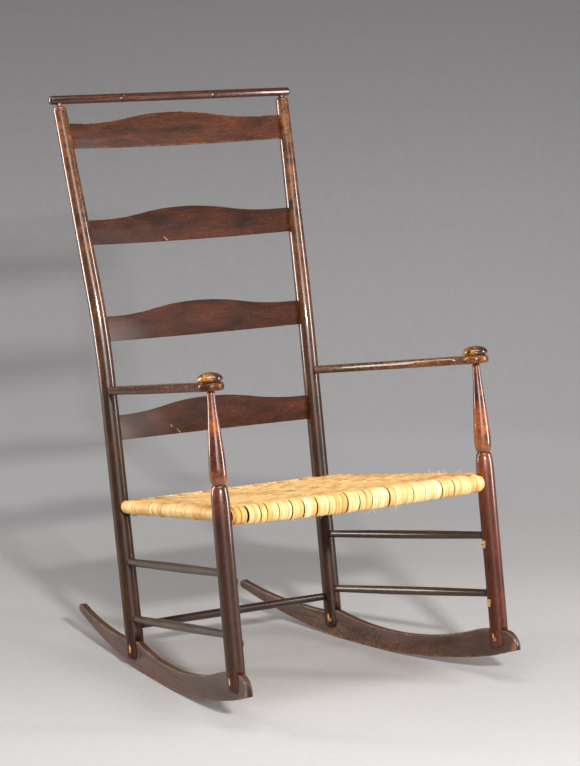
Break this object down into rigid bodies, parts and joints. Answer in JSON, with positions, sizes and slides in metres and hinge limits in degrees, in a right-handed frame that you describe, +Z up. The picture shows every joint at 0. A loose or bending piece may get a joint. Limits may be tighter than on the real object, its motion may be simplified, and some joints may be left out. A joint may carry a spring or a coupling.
{
  "type": "rocking chair",
  "caption": "Ladder back rocking chair with turned posts, bowed slats, a shawl bar, flat arms with mushroom caps, pegged rockers and a woven splint seat.",
  "frame": {"origin": "On the floor, under the middle of the chair's width and of the rockers' length", "axes": "+X across the chair, -Y the way the sitter faces, +Z up from the floor; the chair stands at rest on its rockers, so its frame leans back"},
  "size_m": [0.619, 0.7524, 1.0441],
  "materials": {
    "dark_varnished_wood": "old dark red-brown varnish, glossy, worn at the edges",
    "amber_varnished_wood": "old amber-brown varnish, glossy, worn to orange wood at the edges",
    "dusty_varnished_wood": "old dark varnish gone dull and dusty",
    "peg_wood": "end grain under old varnish",
    "bare_wood": "freshly broken bare wood, matt",
    "woven_splint": "pale split wood splint, satin, with frayed edges"
  },
  "bodies": {
    "root": {"front_post_left": "dark_varnished_wood", "front_post_right": "dark_varnished_wood", "rear_post_left": "amber_varnished_wood", "rear_post_right": "amber_varnished_wood", "slat_1": "dark_varnished_wood", "slat_2": "dark_varnished_wood", "slat_3": "dark_varnished_wood", "slat_4": "dark_varnished_wood", "slat_pins": "peg_wood", "shawl_bar": "amber_varnished_wood", "arm_left": "dark_varnished_wood", "arm_right": "dark_varnished_wood", "arm_cap_left": "amber_varnished_wood", "arm_cap_right": "amber_varnished_wood", "seat_rail_front": "amber_varnished_wood", "seat_rail_rear": "amber_varnished_wood", "seat_rail_left": "amber_varnished_wood", "seat_rail_right": "amber_varnished_wood", "woven_seat": "woven_splint", "side_stretcher_upper_left": "dusty_varnished_wood", "side_stretcher_upper_right": "dusty_varnished_wood", "side_stretcher_lower_left": "dusty_varnished_wood", "side_stretcher_lower_right": "dusty_varnished_wood", "rear_stretcher": "dusty_varnished_wood", "stretcher_stub_upper_left": "bare_wood", "stretcher_stub_upper_right": "bare_wood", "stretcher_stub_lower_left": "bare_wood", "stretcher_stub_lower_right": "bare_wood", "rocker_left": "dusty_varnished_wood", "rocker_right": "dusty_varnished_wood", "rocker_peg_front_left": "peg_wood", "rocker_peg_front_right": "peg_wood", "rocker_peg_rear_left": "peg_wood", "rocker_peg_rear_right": "peg_wood"}
  },
  "joints": []
}
